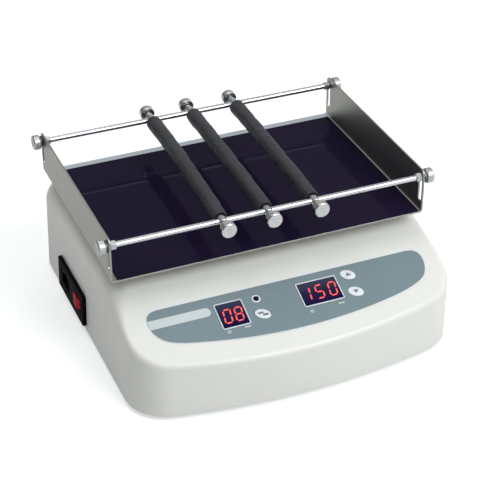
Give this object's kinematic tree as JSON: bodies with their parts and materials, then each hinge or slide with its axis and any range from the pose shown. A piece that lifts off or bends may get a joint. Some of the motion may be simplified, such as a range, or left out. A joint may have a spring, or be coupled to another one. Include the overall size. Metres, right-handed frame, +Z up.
{
  "type": "orbital shaker",
  "caption": "Bench orbital shaker: moulded case with sloping control panel, orbiting bent-steel tray with mat, and a sliding rod rack with padded cross bars.",
  "frame": {"origin": "on the bench, centred under the whole object with the tray at its rest point", "axes": "+X to the operator's right along the rods, +Y to the back, +Z up"},
  "size_m": [0.3612, 0.3479, 0.1692],
  "materials": {
    "shell": "satin moulded",
    "sheet_steel": "brushed sheet",
    "chrome": "polished",
    "satin_metal": "satin turned",
    "mat_black": "high gloss",
    "foam": "matt foam",
    "black_plastic": "fine texture",
    "overlay": "printed film",
    "window": "dark acrylic",
    "key_white": "satin",
    "rocker_red": "translucent look",
    "rubber": "matt",
    "steel": "machined",
    "aluminium": "machined",
    "board": "laminate",
    "lamp_white": "gloss",
    "motor_paint": "satin paint",
    "belt_rubber": "matt"
  },
  "bodies": {
    "base": {"case_shell": "shell", "base_plate": "sheet_steel", "foot_front_left": "rubber", "foot_front_right": "rubber", "foot_back_left": "rubber", "foot_back_right": "rubber", "panel_overlay": "overlay", "display_time": "window", "display_speed": "window", "lamp_bezel": "lamp_white", "lamp_lens": "window", "control_board": "board", "inlet_plate": "black_plastic", "power_socket": "black_plastic", "power_supply": "motor_paint", "motor_bracket": "sheet_steel", "motor": "motor_paint", "belt": "belt_rubber", "bearing_housing": "aluminium", "main_bearing": "steel", "idler_post_left": "aluminium", "idler_post_right": "aluminium", "idler_post_back": "aluminium"},
    "main_crank": {"main_shaft": "steel", "main_pulley": "aluminium", "counterweight": "steel"},
    "motor_rotor": {"motor_pulley": "aluminium"},
    "platform": {"carrier": "aluminium", "platform_bearing": "steel", "idler_bush_left": "satin_metal", "idler_bush_right": "satin_metal", "idler_bush_back": "satin_metal", "tray": "sheet_steel", "mat": "mat_black"},
    "front_rod": {"rod_front": "chrome"},
    "back_rod": {"rod_back": "chrome"},
    "power_rocker": {"rocker": "rocker_red"},
    "idler_left": {"idler_crank_left": "steel"},
    "idler_right": {"idler_crank_right": "steel"},
    "idler_back": {"idler_crank_back": "steel"},
    "cross_left": {"bar_left": "satin_metal"},
    "roller_left": {"sleeve_left": "foam"},
    "clamp_left_front": {"bar_knob_left_front": "satin_metal"},
    "clamp_left_back": {"bar_knob_left_back": "satin_metal"},
    "cross_middle": {"bar_middle": "satin_metal"},
    "roller_middle": {"sleeve_middle": "foam"},
    "clamp_middle_front": {"bar_knob_middle_front": "satin_metal"},
    "clamp_middle_back": {"bar_knob_middle_back": "satin_metal"},
    "cross_right": {"bar_right": "satin_metal"},
    "roller_right": {"sleeve_right": "foam"},
    "clamp_right_front": {"bar_knob_right_front": "satin_metal"},
    "clamp_right_back": {"bar_knob_right_back": "satin_metal"},
    "end_clamp_front_left": {"end_knob_front_left": "satin_metal"},
    "end_clamp_front_right": {"end_knob_front_right": "satin_metal"},
    "end_clamp_back_left": {"end_knob_back_left": "satin_metal"},
    "end_clamp_back_right": {"end_knob_back_right": "satin_metal"},
    "button_set": {"key_set": "key_white"},
    "button_up": {"key_up": "key_white"},
    "button_down": {"key_down": "key_white"}
  },
  "joints": [
    {"name": "main_spin", "type": "hinge", "parent": "base", "child": "main_crank", "pos_m": [0.002, 0.02925, 0.06], "axis": [0, 0, 1], "continuous": true},
    {"name": "platform_orbit", "type": "hinge", "parent": "main_crank", "child": "platform", "pos_m": [0, 0.037, 0.112], "axis": [0, 0, 1], "continuous": true},
    {"name": "motor_spin", "type": "hinge", "parent": "base", "child": "motor_rotor", "pos_m": [0.09, 0.1, 0.07], "axis": [0, 0, 1], "continuous": true},
    {"name": "idler_spin_left", "type": "hinge", "parent": "base", "child": "idler_left", "pos_m": [-0.123, -0.005, 0.08], "axis": [0, 0, 1], "continuous": true},
    {"name": "idler_spin_right", "type": "hinge", "parent": "base", "child": "idler_right", "pos_m": [0.127, -0.005, 0.08], "axis": [0, 0, 1], "continuous": true},
    {"name": "idler_spin_back", "type": "hinge", "parent": "base", "child": "idler_back", "pos_m": [-0.018, 0.13, 0.08], "axis": [0, 0, 1], "continuous": true},
    {"name": "front_rod_slide", "type": "slide", "parent": "platform", "child": "front_rod", "axis": [0, 0, 1], "range_m": [-0.0245, 0]},
    {"name": "back_rod_slide", "type": "slide", "parent": "platform", "child": "back_rod", "axis": [0, 0, 1], "range_m": [-0.0245, 0]},
    {"name": "bar_slide_left", "type": "slide", "parent": "front_rod", "child": "cross_left", "axis": [1, 0, 0], "range_m": [-0.105, 0.014]},
    {"name": "sleeve_turn_left", "type": "hinge", "parent": "cross_left", "child": "roller_left", "pos_m": [-0.0488, 0.037, 0.1602], "axis": [0.0253, 0.9997, 0], "continuous": true},
    {"name": "bar_knob_turn_left_front", "type": "hinge", "parent": "cross_left", "child": "clamp_left_front", "pos_m": [-0.05196, -0.088, 0.1602], "axis": [-0.0253, -0.9997, 0], "range_deg": [0, 360]},
    {"name": "bar_knob_turn_left_back", "type": "hinge", "parent": "cross_left", "child": "clamp_left_back", "pos_m": [-0.04564, 0.162, 0.1602], "axis": [0.0253, 0.9997, 0], "range_deg": [0, 360]},
    {"name": "bar_slide_middle", "type": "slide", "parent": "front_rod", "child": "cross_middle", "axis": [1, 0, 0], "range_m": [-0.014, 0.016]},
    {"name": "sleeve_turn_middle", "type": "hinge", "parent": "cross_middle", "child": "roller_middle", "pos_m": [-0.00155, 0.037, 0.1602], "axis": [0.0157, 0.9999, 0], "continuous": true},
    {"name": "bar_knob_turn_middle_front", "type": "hinge", "parent": "cross_middle", "child": "clamp_middle_front", "pos_m": [-0.00351, -0.088, 0.1602], "axis": [-0.0157, -0.9999, 0], "range_deg": [0, 360]},
    {"name": "bar_knob_turn_middle_back", "type": "hinge", "parent": "cross_middle", "child": "clamp_middle_back", "pos_m": [0.00041, 0.162, 0.1602], "axis": [0.0157, 0.9999, 0], "range_deg": [0, 360]},
    {"name": "bar_slide_right", "type": "slide", "parent": "front_rod", "child": "cross_right", "axis": [1, 0, 0], "range_m": [-0.016, 0.105]},
    {"name": "sleeve_turn_right", "type": "hinge", "parent": "cross_right", "child": "roller_right", "pos_m": [0.0497, 0.037, 0.1602], "axis": [0.0168, 0.9999, 0], "continuous": true},
    {"name": "bar_knob_turn_right_front", "type": "hinge", "parent": "cross_right", "child": "clamp_right_front", "pos_m": [0.0476, -0.088, 0.1602], "axis": [-0.0168, -0.9999, 0], "range_deg": [0, 360]},
    {"name": "bar_knob_turn_right_back", "type": "hinge", "parent": "cross_right", "child": "clamp_right_back", "pos_m": [0.0518, 0.162, 0.1602], "axis": [0.0168, 0.9999, 0], "range_deg": [0, 360]},
    {"name": "end_knob_turn_front_left", "type": "hinge", "parent": "front_rod", "child": "end_clamp_front_left", "pos_m": [-0.176, -0.074, 0.1602], "axis": [-1, 0, 0], "range_deg": [0, 360]},
    {"name": "end_knob_turn_front_right", "type": "hinge", "parent": "front_rod", "child": "end_clamp_front_right", "pos_m": [0.176, -0.074, 0.1602], "axis": [1, 0, 0], "range_deg": [0, 360]},
    {"name": "end_knob_turn_back_left", "type": "hinge", "parent": "back_rod", "child": "end_clamp_back_left", "pos_m": [-0.176, 0.148, 0.1602], "axis": [-1, 0, 0], "range_deg": [0, 360]},
    {"name": "end_knob_turn_back_right", "type": "hinge", "parent": "back_rod", "child": "end_clamp_back_right", "pos_m": [0.176, 0.148, 0.1602], "axis": [1, 0, 0], "range_deg": [0, 360]},
    {"name": "rocker_tilt", "type": "hinge", "parent": "base", "child": "power_rocker", "pos_m": [-0.17349, 0.0274, 0.031], "axis": [0.0349, 0, 0.9994], "range_deg": [-18, 0]},
    {"name": "press_set", "type": "slide", "parent": "base", "child": "button_set", "axis": [0, 0.3584, -0.9336], "range_m": [0, 0.0008]},
    {"name": "press_up", "type": "slide", "parent": "base", "child": "button_up", "axis": [0, 0.3584, -0.9336], "range_m": [0, 0.0008]},
    {"name": "press_down", "type": "slide", "parent": "base", "child": "button_down", "axis": [0, 0.3584, -0.9336], "range_m": [0, 0.0008]}
  ],
  "couplings": [
    {"joint": "platform_orbit", "follows": "main_spin", "ratio": -1},
    {"joint": "motor_spin", "follows": "main_spin", "ratio": 3},
    {"joint": "idler_spin_left", "follows": "main_spin", "ratio": 1},
    {"joint": "idler_spin_right", "follows": "main_spin", "ratio": 1},
    {"joint": "idler_spin_back", "follows": "main_spin", "ratio": 1},
    {"joint": "back_rod_slide", "follows": "front_rod_slide", "ratio": 1}
  ]
}
